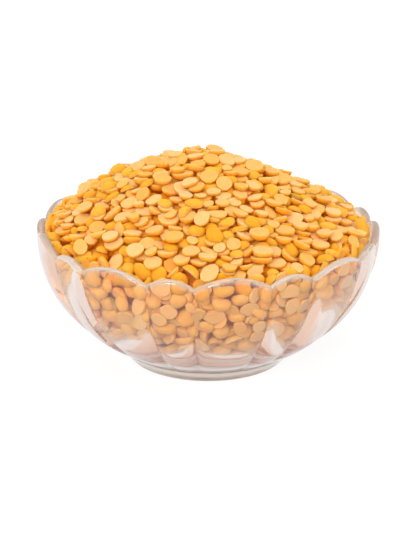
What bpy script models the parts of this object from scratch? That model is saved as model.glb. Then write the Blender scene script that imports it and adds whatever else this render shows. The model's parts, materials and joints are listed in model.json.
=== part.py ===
"""A clear pressed-glass bowl heaped with split chickpeas (chana dal).

The bowl is one thick-walled solid. Its outside is a ring of nine wide and nine narrow petals that
meet in V grooves, its rim is scalloped to match, and it stands on a short tapered foot ring. The dal
is one solid: a core that fills the bowl and rises above its rim, with split grains fused on it.

Units are metres. +Z is up, the bowl's axis is Z, and the foot stands on z = 0. The front is -Y.
"""

import math
import random

import bmesh
import bpy
from mathutils import Matrix, Vector

# Bowl outside: half an ellipse turned round Z, with the petals pressed into it.
BOWL_RADIUS = 0.0630
BOWL_DEPTH = 0.0500
NOTCH_HEIGHT = 0.0476

# Petals, counted from the front towards +X.
PETAL_PAIRS = 9
WIDE_PETAL = math.radians(24.5)
NARROW_PETAL = math.radians(360.0 / PETAL_PAIRS) - WIDE_PETAL
FIRST_WIDE_CENTRE = math.radians(8.07)
WIDE_STEPS = 5
NARROW_STEPS = 4
WIDE_CREST = 0.0039
NARROW_CREST = 0.0030

# V grooves between the petals: shallow at the rim, deep at mid height, faded out at the foot.
GROOVE_AT_RIM = 0.0010
GROOVE_AT_BELLY = 0.0021
GROOVE_AT_FOOT = 0.0004
BELLY_HEIGHT = 0.0240
GROOVE_FLANK = 0.0030
PETAL_CROWN = 0.0004

# Bowl inside: a smooth turned hollow, with the wall thickening towards the base.
RIM_WALL = 0.0033
HOLLOW_RADIUS = BOWL_RADIUS - RIM_WALL
HOLLOW_DEPTH = 0.0400
HOLLOW_FALL = 1.55
HOLLOW_ROUND = 3.45

# Foot ring.
FOOT_TOP_HEIGHT = 0.0058
FOOT_RADIUS = 0.0300
FOOT_EDGE = 0.0012
FOOT_RING_WIDTH = 0.0048
RECESS_DEPTH = 0.0015

# Rows of the bowl's mesh.
OUTSIDE_ROWS = 8
INSIDE_ROWS = 6
RIM_ROUND_STEPS = 4

# Dal heap: a dome that is a little fuller towards -X, on a fill that follows the hollow.
HEAP_TOP = 0.0303
HEAP_EDGE = 0.0028
HEAP_POWER = 1.45
HEAP_LEAN = 0.0050
HEAP_RADIUS = HOLLOW_RADIUS - 0.0008
HEAP_COLUMNS = 24
DOME_ROWS = 6
FILL_ROWS = 5
GLASS_GAP = 0.0004
SKIN_DEPTH = 0.0019
CORE_JITTER = 0.0005

# Split grains: half of a small round pea, flat on its cut side. Ranges are shares of a size.
GRAIN_SIDES = 6
GRAIN_RADIUS = 0.0032
GRAIN_THICKNESS = 0.0029
GRAIN_BACK = 0.66
RADIUS_RANGE = (0.84, 1.18)
THICKNESS_RANGE = (0.88, 1.12)
OVAL_RANGE = (0.84, 1.0)
CORNER_RANGE = (0.95, 1.05)

# How the grains lie: on the dome they lean freely, against the glass they lie nearly flat.
DOME_GRAINS = 220
SIDE_GRAINS = 30
DOME_TILT = math.radians(24.0)
SIDE_TILT = math.radians(9.0)
STEEPEST_TILT = math.radians(50.0)
SINK_BACK_OUT = (0.05, 0.30)
SINK_CUT_OUT = (0.30, 0.55)
SPIRAL_JITTER = 0.4
LOWEST_SIDE_GRAIN = 0.80
PLACING_TRIES = 10
GOLDEN_ANGLE = math.pi * (3.0 - math.sqrt(5.0))
SLOPE_STEP = 0.0005
SEED = 11

GLASS_COLOUR = (0.86, 0.82, 0.78)
DAL_COLOUR = (0.90, 0.52, 0.15)


def clear_scene():
    """Remove every object that the scene starts with."""
    for item in list(bpy.data.objects):
        bpy.data.objects.remove(item, do_unlink=True)


def finish(name, colour, roughness, transmission=0.0):
    """Return a Principled material of one colour."""
    material = bpy.data.materials.new(name)
    material.use_nodes = True
    shader = material.node_tree.nodes["Principled BSDF"]
    shader.inputs["Base Color"].default_value = (*colour, 1.0)
    shader.inputs["Roughness"].default_value = roughness
    shader.inputs["Metallic"].default_value = 0.0
    shader.inputs["Transmission Weight"].default_value = transmission
    return material


def add_object(name, bm, material):
    """Turn a bmesh into a named object of the scene, with its faces pointing out."""
    bmesh.ops.recalc_face_normals(bm, faces=bm.faces)
    mesh = bpy.data.meshes.new(name)
    bm.to_mesh(mesh)
    bm.free()
    mesh.materials.append(material)
    item = bpy.data.objects.new(name, mesh)
    bpy.context.collection.objects.link(item)
    return item


def around(radius, angle, height):
    """Return the point at an angle from the front (-Y) towards +X."""
    return Vector((radius * math.sin(angle), -radius * math.cos(angle), height))


# ---------------------------------------------------------------- bowl


def petal_columns():
    """Return (angle, place, crest) for each column of the wall.

    place runs from -1 to 1 across a petal, so that the notches and grooves are at the two ends.
    """
    flank_wide = 1.0 - 2.0 * GROOVE_FLANK / (WIDE_PETAL * BOWL_RADIUS)
    flank_narrow = 1.0 - 2.0 * GROOVE_FLANK / (NARROW_PETAL * BOWL_RADIUS)
    kinds = (
        (WIDE_PETAL, WIDE_STEPS, flank_wide, WIDE_CREST),
        (NARROW_PETAL, NARROW_STEPS, flank_narrow, NARROW_CREST),
    )
    columns = []
    start = FIRST_WIDE_CENTRE - WIDE_PETAL / 2.0
    for _ in range(PETAL_PAIRS):
        for width, steps, flank, crest in kinds:
            inner = [flank * (2.0 * i / (steps - 2) - 1.0) for i in range(steps - 1)]
            for place in [-1.0] + inner:
                columns.append((start + width * (place + 1.0) / 2.0, place, crest))
            start += width
    return columns


def outside_radius(height):
    """Return the bowl's radius outside, with no groove in it."""
    depth = max(0.0, NOTCH_HEIGHT - height)
    return BOWL_RADIUS * math.sqrt(1.0 - (depth / BOWL_DEPTH) ** 2)


def hollow_radius(height):
    """Return the radius of the bowl's smooth inside."""
    depth = min(max(0.0, NOTCH_HEIGHT - height), HOLLOW_DEPTH)
    return HOLLOW_RADIUS * (1.0 - (depth / HOLLOW_DEPTH) ** HOLLOW_FALL) ** (1.0 / HOLLOW_ROUND)


def groove_depth(height):
    """Return how deep the V groove between two petals is at a height."""
    if height > BELLY_HEIGHT:
        share = (height - BELLY_HEIGHT) / (NOTCH_HEIGHT - BELLY_HEIGHT)
        return GROOVE_AT_BELLY + (GROOVE_AT_RIM - GROOVE_AT_BELLY) * min(1.0, share) ** 2
    share = (BELLY_HEIGHT - height) / (BELLY_HEIGHT - FOOT_TOP_HEIGHT)
    return GROOVE_AT_BELLY + (GROOVE_AT_FOOT - GROOVE_AT_BELLY) * share ** 2


def petal_radius(height, place):
    """Return the outside radius at a height and a place across a petal."""
    at_notch = abs(place) > 0.999
    groove = groove_depth(height) if at_notch else PETAL_CROWN * place ** 2
    return outside_radius(height) - groove


def rim_section(place, crest):
    """Return (radius, height) points over the rounded rim, from the outside to the inside."""
    top = NOTCH_HEIGHT + crest * (1.0 - place ** 2)
    outer = petal_radius(top, place)
    middle = (outer + HOLLOW_RADIUS) / 2.0
    half = (outer - HOLLOW_RADIUS) / 2.0
    points = []
    for i in range(RIM_ROUND_STEPS + 1):
        turn = math.pi * i / RIM_ROUND_STEPS
        points.append((middle + half * math.cos(turn), top - half + half * math.sin(turn)))
    return points


def foot_section():
    """Return (radius, height) points of the foot, from its recess out to its flank."""
    ring_inside = FOOT_RADIUS - FOOT_RING_WIDTH
    edge_rise = FOOT_EDGE / 2.0
    return [
        (ring_inside - RECESS_DEPTH, RECESS_DEPTH),
        (ring_inside, 0.0),
        (FOOT_RADIUS - FOOT_EDGE, 0.0),
        (FOOT_RADIUS, edge_rise),
    ]


def wall_section(place, crest):
    """Return the closed-up profile of one column, from under the foot to the hollow's floor."""
    rim = rim_section(place, crest)
    points = foot_section()
    shoulder = rim[0][1]
    for i in range(OUTSIDE_ROWS):
        height = FOOT_TOP_HEIGHT + (shoulder - FOOT_TOP_HEIGHT) * i / OUTSIDE_ROWS
        points.append((petal_radius(height, place), height))
    points += rim
    inner_shoulder = rim[-1][1]
    floor = NOTCH_HEIGHT - HOLLOW_DEPTH
    for i in range(1, INSIDE_ROWS + 1):
        share = math.sin(math.pi / 2.0 * i / (INSIDE_ROWS + 0.6))
        height = inner_shoulder + (floor - inner_shoulder) * share
        points.append((hollow_radius(height), height))
    return points


def build_bowl(material):
    """Build the glass bowl by joining its columns' profiles all the way round."""
    bm = bmesh.new()
    columns = []
    for angle, place, crest in petal_columns():
        section = wall_section(place, crest)
        columns.append([bm.verts.new(around(r, angle, z)) for r, z in section])
    under = bm.verts.new((0.0, 0.0, RECESS_DEPTH))
    floor = bm.verts.new((0.0, 0.0, NOTCH_HEIGHT - HOLLOW_DEPTH))
    for i, left in enumerate(columns):
        right = columns[(i + 1) % len(columns)]
        bm.faces.new((under, left[0], right[0]))
        for row in range(len(left) - 1):
            bm.faces.new((left[row], left[row + 1], right[row + 1], right[row]))
        bm.faces.new((left[-1], floor, right[-1]))
    bowl = add_object("glass_bowl", bm, material)
    bowl.data.shade_smooth()
    bowl.data.set_sharp_from_angle(angle=math.radians(35.0))
    return bowl


# ---------------------------------------------------------------- dal


def dome_height(x, y):
    """Return the height of the heap's top over a point, as the grains' tops make it."""
    share = min(1.0, math.hypot(x, y) / HEAP_RADIUS)
    rise = HEAP_EDGE + (HEAP_TOP - HEAP_EDGE) * (1.0 - share ** HEAP_POWER)
    lean = -HEAP_LEAN * x / HEAP_RADIUS * (1.0 - share ** 2)
    return NOTCH_HEIGHT + rise + lean


def dome_normal(x, y):
    """Return the direction straight out of the dome over a point."""
    rise_x = dome_height(x + SLOPE_STEP, y) - dome_height(x - SLOPE_STEP, y)
    rise_y = dome_height(x, y + SLOPE_STEP) - dome_height(x, y - SLOPE_STEP)
    return Vector((-rise_x, -rise_y, 2.0 * SLOPE_STEP)).normalized()


def core_rings():
    """Return rings of the core as (radius, height or None), None standing for the dome's own height."""
    rings = []
    floor = NOTCH_HEIGHT - HOLLOW_DEPTH + SKIN_DEPTH
    fill_top = NOTCH_HEIGHT - GRAIN_RADIUS
    for i in range(FILL_ROWS):
        share = 1.0 - math.cos(math.pi / 2.0 * i / (FILL_ROWS - 1))
        height = floor + (fill_top - floor) * share
        rings.append((hollow_radius(height - SKIN_DEPTH / 2.0) - SKIN_DEPTH, height))
    for i in range(DOME_ROWS):
        rings.append((HEAP_RADIUS * (1.0 - i / DOME_ROWS), None))
    return rings


def build_core(material, rng):
    """Build the uneven core of the heap, a skin's depth inside the grains' tops."""
    bm = bmesh.new()
    rings = []
    for radius, height in core_rings():
        ring = []
        for i in range(HEAP_COLUMNS):
            point = around(radius, 2.0 * math.pi * i / HEAP_COLUMNS, 0.0)
            if height is None:
                point.z = dome_height(point.x, point.y) - SKIN_DEPTH
                point.z += rng.uniform(-CORE_JITTER, CORE_JITTER)
            else:
                point.z = height
            ring.append(bm.verts.new(point))
        rings.append(ring)
    bottom = bm.verts.new((0.0, 0.0, rings[0][0].co.z))
    top = bm.verts.new((0.0, 0.0, dome_height(0.0, 0.0) - SKIN_DEPTH))
    for i in range(HEAP_COLUMNS):
        j = (i + 1) % HEAP_COLUMNS
        bm.faces.new((bottom, rings[0][j], rings[0][i]))
        for lower, upper in zip(rings, rings[1:]):
            bm.faces.new((lower[i], lower[j], upper[j], upper[i]))
        bm.faces.new((rings[-1][i], rings[-1][j], top))
    return add_object("dal_heap", bm, material)


def grain_points(rng):
    """Return the two rings of a split grain round its own centre, cut side up, before it is placed."""
    radius = GRAIN_RADIUS * rng.uniform(*RADIUS_RANGE)
    oval = rng.uniform(*OVAL_RANGE)
    thickness = GRAIN_THICKNESS * rng.uniform(*THICKNESS_RANGE)
    rings = []
    for share, height in ((1.0, thickness / 2.0), (GRAIN_BACK, -thickness / 2.0)):
        ring = []
        for i in range(GRAIN_SIDES):
            turn = 2.0 * math.pi * i / GRAIN_SIDES
            reach = radius * share * rng.uniform(*CORNER_RANGE)
            ring.append(Vector((reach * math.cos(turn), reach * oval * math.sin(turn), height)))
        rings.append(ring)
    return rings


def placed(points, centre, outward, tilt, back_out, spin):
    """Return the rings turned to face outward, tilted, spun and moved to a centre."""
    flip = Matrix.Rotation(math.pi if back_out else 0.0, 4, "X")
    lean = Matrix.Rotation(tilt, 4, "X")
    face = outward.to_track_quat("Z", "Y").to_matrix().to_4x4()
    move = Matrix.Translation(centre) @ face @ Matrix.Rotation(spin, 4, "Z") @ lean @ flip
    return [[move @ point for point in ring] for ring in points]


def clears_glass(rings):
    """Return whether every corner of a grain is inside the hollow by the gap to the glass."""
    for ring in rings:
        for point in ring:
            limit = hollow_radius(point.z - GLASS_GAP) - GLASS_GAP
            if math.hypot(point.x, point.y) > limit:
                return False
    return True


def grain_object(name, rings, collection):
    """Make one grain a closed mesh of its own in a collection."""
    bm = bmesh.new()
    cut, back = [[bm.verts.new(point) for point in ring] for ring in rings]
    bm.faces.new(cut)
    bm.faces.new(back)
    for i in range(GRAIN_SIDES):
        j = (i + 1) % GRAIN_SIDES
        bm.faces.new((cut[i], back[i], back[j], cut[j]))
    bmesh.ops.recalc_face_normals(bm, faces=bm.faces)
    mesh = bpy.data.meshes.new(name)
    bm.to_mesh(mesh)
    bm.free()
    collection.objects.link(bpy.data.objects.new(name, mesh))


def dome_grains(rng):
    """Yield the placed grains of the dome, on a spiral that spreads them evenly.

    A grain that would cross the glass is moved inwards and laid flatter until it is clear.
    """
    for i in range(DOME_GRAINS):
        reach = (HEAP_RADIUS - GRAIN_RADIUS / 2.0) * math.sqrt((i + 0.5) / DOME_GRAINS)
        jitter = rng.uniform(-SPIRAL_JITTER, SPIRAL_JITTER) * GRAIN_RADIUS
        angle = i * GOLDEN_ANGLE + jitter / max(reach, GRAIN_RADIUS)
        points = grain_points(rng)
        back_out = rng.random() < 0.5
        tilt = min(STEEPEST_TILT, abs(rng.gauss(0.0, DOME_TILT)))
        sink = GRAIN_THICKNESS * rng.uniform(*(SINK_BACK_OUT if back_out else SINK_CUT_OUT))
        spin = rng.uniform(0.0, 2.0 * math.pi)
        for pull in range(PLACING_TRIES):
            spot = around(reach - GRAIN_RADIUS * pull / PLACING_TRIES, angle, 0.0)
            spot.z = dome_height(spot.x, spot.y)
            outward = dome_normal(spot.x, spot.y)
            flatter = tilt * (1.0 - pull / PLACING_TRIES)
            rings = placed(points, spot - outward * sink, outward, flatter, back_out, spin)
            if clears_glass(rings):
                yield rings
                break


def side_grains(rng):
    """Yield the placed grains that lie against the glass, on a spiral down the hollow."""
    high = NOTCH_HEIGHT - GRAIN_RADIUS
    low = NOTCH_HEIGHT - HOLLOW_DEPTH * LOWEST_SIDE_GRAIN
    for i in range(SIDE_GRAINS):
        height = high + (low - high) * (i + 0.5) / SIDE_GRAINS
        angle = i * GOLDEN_ANGLE
        narrowing = hollow_radius(height + SLOPE_STEP) - hollow_radius(height - SLOPE_STEP)
        outward = around(2.0 * SLOPE_STEP, angle, -narrowing).normalized()
        wall = around(hollow_radius(height), angle, height)
        points = grain_points(rng)
        back_out = rng.random() < 0.4
        tilt = abs(rng.gauss(0.0, SIDE_TILT))
        spin = rng.uniform(0.0, 2.0 * math.pi)
        for pull in range(PLACING_TRIES):
            inwards = GRAIN_THICKNESS / 2.0 + GLASS_GAP * (1.0 + pull / 2.0)
            rings = placed(points, wall - outward * inwards, outward, tilt, back_out, spin)
            if clears_glass(rings):
                yield rings
                break


def largest_shell(bm):
    """Keep only the outer shell: a sealed hollow is filled by this and a loose scrap dropped."""
    shells = []
    seen = set()
    for start in bm.verts:
        if start in seen:
            continue
        shell = {start}
        edge = [start]
        while edge:
            vert = edge.pop()
            for link in vert.link_edges:
                other = link.other_vert(vert)
                if other not in shell:
                    shell.add(other)
                    edge.append(other)
        seen |= shell
        shells.append(shell)
    shells.sort(key=len)
    spare = [vert for shell in shells[:-1] for vert in shell]
    bmesh.ops.delete(bm, geom=spare, context="VERTS")


def build_heap(material):
    """Build the heap: the core with the grains joined to it by one Boolean union."""
    rng = random.Random(SEED)
    heap = build_core(material, rng)
    grains = bpy.data.collections.new("grains")
    bpy.context.scene.collection.children.link(grains)
    for i, rings in enumerate(dome_grains(rng)):
        grain_object(f"dome_grain_{i}", rings, grains)
    for i, rings in enumerate(side_grains(rng)):
        grain_object(f"side_grain_{i}", rings, grains)
    union = heap.modifiers.new("grains", "BOOLEAN")
    union.operation = "UNION"
    union.operand_type = "COLLECTION"
    union.collection = grains
    union.solver = "MANIFOLD"
    evaluated = heap.evaluated_get(bpy.context.evaluated_depsgraph_get())
    bm = bmesh.new()
    bm.from_mesh(evaluated.to_mesh())
    heap.modifiers.clear()
    largest_shell(bm)
    bmesh.ops.triangulate(bm, faces=bm.faces)
    bm.to_mesh(heap.data)
    bm.free()
    for item in list(grains.objects):
        bpy.data.objects.remove(item, do_unlink=True)
    bpy.data.collections.remove(grains)
    return heap


clear_scene()
build_bowl(finish("clear pressed glass", GLASS_COLOUR, 0.03, transmission=0.9))
build_heap(finish("split chickpea", DAL_COLOUR, 0.45))
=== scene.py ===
"""Looks of a clear pressed-glass bowl heaped with split chickpeas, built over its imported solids.

The bowl is remade as one smooth shell of glass in the form of its solid. The dal is remade as loose
split grains: they are dropped one by one on a height map, first against the glass and then on the
dome, so that they lie on each other as poured grains do. Units are metres, +Z is up, -Y is the front.
"""

import json
import logging
import math
from dataclasses import dataclass, field
from enum import Enum

import bmesh
import bpy
import numpy as np
from mathutils import Matrix, Vector

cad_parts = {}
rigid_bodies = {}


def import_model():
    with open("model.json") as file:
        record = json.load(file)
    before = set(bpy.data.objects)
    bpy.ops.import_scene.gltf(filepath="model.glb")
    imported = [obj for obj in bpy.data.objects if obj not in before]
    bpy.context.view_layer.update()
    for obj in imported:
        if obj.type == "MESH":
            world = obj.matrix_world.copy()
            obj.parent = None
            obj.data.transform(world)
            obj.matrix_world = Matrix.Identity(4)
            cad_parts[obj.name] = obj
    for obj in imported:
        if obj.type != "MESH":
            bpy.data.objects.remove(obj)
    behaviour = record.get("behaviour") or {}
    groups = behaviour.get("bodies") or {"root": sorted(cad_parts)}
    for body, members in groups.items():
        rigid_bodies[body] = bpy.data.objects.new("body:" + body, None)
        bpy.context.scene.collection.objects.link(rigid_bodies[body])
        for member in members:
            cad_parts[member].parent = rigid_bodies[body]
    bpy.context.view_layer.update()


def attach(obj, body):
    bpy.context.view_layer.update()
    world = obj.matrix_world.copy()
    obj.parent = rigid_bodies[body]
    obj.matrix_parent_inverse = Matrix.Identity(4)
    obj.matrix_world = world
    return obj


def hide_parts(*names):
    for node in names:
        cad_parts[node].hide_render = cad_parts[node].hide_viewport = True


LOG = logging.getLogger("dish")
BODY = "root"
BOWL_NODE = "glass_bowl"
HEAP_NODE = "dal_heap"
MM = 0.001
NEARLY_UPRIGHT = 1e-4
NO_LENGTH = 1e-9
NOISE_MEAN = 0.5


# ---------------------------------------------------------------- small tools


def colour(hex_code: str) -> tuple[float, float, float, float]:
    """Turn an sRGB hex colour into linear red, green, blue and an alpha of one.

    Args:
        hex_code: six hex digits, with or without a leading #.

    Returns:
        The linear colour that a shader's socket takes.
    """
    digits = hex_code.lstrip("#")
    channels = [int(digits[i:i + 2], 16) / 255.0 for i in (0, 2, 4)]
    linear = [c / 12.92 if c <= 0.04045 else ((c + 0.055) / 1.055) ** 2.4 for c in channels]
    return (linear[0], linear[1], linear[2], 1.0)


def add_node(tree: bpy.types.NodeTree, kind: str, inputs: dict | None = None, **settings) -> bpy.types.Node:
    """Add a node with its settings, and give its sockets values or links.

    Args:
        tree: the node tree that takes the node.
        kind: the node's type, as Blender names it.
        inputs: socket name or number to a plain value or to another node's output socket.
        **settings: the node's own properties, such as operation or data_type.

    Returns:
        The new node.
    """
    node = tree.nodes.new(kind)
    for name, value in settings.items():
        setattr(node, name, value)
    for key, value in (inputs or {}).items():
        socket = node.inputs[key]
        if isinstance(value, bpy.types.NodeSocket):
            tree.links.new(value, socket)
        else:
            socket.default_value = value
    return node


def new_material(name: str) -> tuple[bpy.types.Material, bpy.types.NodeTree]:
    """Make an empty node material.

    Args:
        name: the material's name, which says what the real one is.

    Returns:
        The material and its node tree, with no nodes in it.
    """
    material = bpy.data.materials.new(name)
    material.use_nodes = True
    material.node_tree.nodes.clear()
    return material, material.node_tree


def new_object(name: str, mesh: bpy.types.Mesh) -> bpy.types.Object:
    """Link a mesh to the scene as an object at the origin.

    Args:
        name: the object's name.
        mesh: its mesh.

    Returns:
        The object.
    """
    item = bpy.data.objects.new(name, mesh)
    bpy.context.scene.collection.objects.link(item)
    return item


def closed_mesh(bm: bmesh.types.BMesh, name: str) -> bpy.types.Mesh:
    """Point the faces of a drawn shell outwards and keep it as a mesh.

    Args:
        bm: the shell, which is freed.
        name: the mesh's name.

    Returns:
        The mesh.
    """
    bmesh.ops.recalc_face_normals(bm, faces=bm.faces)
    mesh = bpy.data.meshes.new(name)
    bm.to_mesh(mesh)
    bm.free()
    return mesh


def as_plain_mesh(source: bpy.types.Object, name: str) -> bpy.types.Object:
    """Turn what an object's modifiers make into a plain mesh object, and remove the source.

    Args:
        source: the object with a live Geometry Nodes modifier.
        name: the name of the finished piece.

    Returns:
        The finished piece, at the origin, with no modifier.
    """
    evaluated = source.evaluated_get(bpy.context.evaluated_depsgraph_get())
    mesh = bpy.data.meshes.new_from_object(evaluated)
    mesh.name = name
    bpy.data.objects.remove(source, do_unlink=True)
    return new_object(name, mesh)


def node_modifier(item: bpy.types.Object, tree: bpy.types.NodeTree, values: dict) -> None:
    """Give an object a Geometry Nodes modifier and set its inputs by their sockets' identifiers.

    Args:
        item: the object that takes the modifier.
        tree: the node group.
        values: input name to value.
    """
    modifier = item.modifiers.new(tree.name, "NODES")
    modifier.node_group = tree
    for entry in tree.interface.items_tree:
        if entry.item_type == "SOCKET" and entry.in_out == "INPUT" and entry.name in values:
            modifier[entry.identifier] = values[entry.name]


def geometry_tree(name: str, inputs: dict[str, str]) -> bpy.types.NodeTree:
    """Make a Geometry Nodes group with a geometry input and output and further named inputs.

    Args:
        name: the group's name.
        inputs: input name to socket type.

    Returns:
        The group, holding its input and output nodes, named Inputs and Outputs.
    """
    tree = bpy.data.node_groups.new(name, "GeometryNodeTree")
    tree.interface.new_socket("Geometry", in_out="INPUT", socket_type="NodeSocketGeometry")
    for label, socket_type in inputs.items():
        tree.interface.new_socket(label, in_out="INPUT", socket_type=socket_type)
    tree.interface.new_socket("Geometry", in_out="OUTPUT", socket_type="NodeSocketGeometry")
    add_node(tree, "NodeGroupInput", name="Inputs")
    add_node(tree, "NodeGroupOutput", name="Outputs")
    return tree


# ---------------------------------------------------------------- finishes


@dataclass(frozen=True)
class PressedGlass:
    """Soda-lime glass, pressed and fire-polished: clear, smooth, with a faint warm grey tint."""

    tint: str = "#FAF6F2"
    edge_tint: str = "#B49C96"
    edge_power: float = 3.0
    # The rim and the foot carry painted pale bands of light: their grey tint, and how much clear glass they
    # take away.
    painted_band_tint: str = "#D6D2C6"
    painted_band_share: float = 0.3
    body: str = "#D8BFB6"
    body_density: float = 40.0
    trapped: str = "#CEC0B2"
    most_turns: float = 3.5
    index: float = 1.5
    roughness: float = 0.0
    ripple: float = 9.0 * MM
    ripple_detail: float = 1.0
    ripple_depth: float = 0.04 * MM
    ripple_strength: float = 0.35

    def material(self) -> bpy.types.Material:
        """Build the glass, with the slow ripple that a mould leaves and painted pale bands at the rim and
        foot.

        Returns:
            The glass's material.
        """
        material, tree = new_material("pressed soda-lime glass")
        ripple = add_node(tree, "ShaderNodeTexNoise", {
            "Vector": add_node(tree, "ShaderNodeTexCoord").outputs["Object"],
            "Scale": 1.0 / self.ripple,
            "Detail": self.ripple_detail,
        })
        bump = add_node(tree, "ShaderNodeBump", {
            "Height": ripple.outputs["Fac"],
            "Strength": self.ripple_strength,
            "Distance": self.ripple_depth,
        })
        # Light that turns inside the wall many times is lost to the render. In the real glass it comes
        # out pale, as a mean of the room and the dal, so that is what its last turn gives.
        turns = add_node(tree, "ShaderNodeLightPath").outputs["Glossy Depth"]
        lost = add_node(tree, "ShaderNodeMath", {0: turns, 1: self.most_turns}, operation="GREATER_THAN")
        # The rim and the foot are drawn a little matt and pale grey, as painted pale bands for the light
        # that the glass catches there. The foot's mark is above one, as it is painted paler, so the range
        # isn't clamped.
        mix_mask = add_node(tree, "ShaderNodeAttribute", attribute_name="rim").outputs["Fac"]
        clear = add_node(tree, "ShaderNodeMapRange", {
            "Value": mix_mask, "From Min": 0.0, "From Max": 1.0, "To Min": 1.0, "To Max": 1.0 - self.painted_band_share,
        }, clamp=False)
        # Seen edge-on, more glass lies behind each point, so the sides of the bowl are faintly darker.
        slant = add_node(tree, "ShaderNodeLayerWeight", {"Blend": 0.5}).outputs["Facing"]
        steep = add_node(tree, "ShaderNodeMath", {0: slant, 1: self.edge_power}, operation="POWER")
        shade = colour(self.tint)
        for share, over in ((steep.outputs[0], self.edge_tint), (mix_mask, self.painted_band_tint)):
            shade = add_node(tree, "ShaderNodeMix", {
                "Factor": share, "A": shade, "B": colour(over),
            }, data_type="RGBA").outputs["Result"]
        shader = add_node(tree, "ShaderNodeBsdfPrincipled", {
            "Base Color": shade,
            "Roughness": self.roughness,
            "IOR": self.index,
            "Transmission Weight": clear.outputs["Result"],
            "Normal": bump.outputs["Normal"],
            "Emission Color": colour(self.trapped),
            "Emission Strength": lost.outputs[0],
        })
        # Glass takes more light the longer the way through it, so thick places look warmer and darker.
        depth = add_node(tree, "ShaderNodeVolumeAbsorption", {
            "Color": colour(self.body), "Density": self.body_density,
        })
        add_node(tree, "ShaderNodeOutputMaterial", {
            "Surface": shader.outputs["BSDF"], "Volume": depth.outputs["Volume"],
        })
        material.cycles.emission_sampling = "NONE"
        return material


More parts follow.
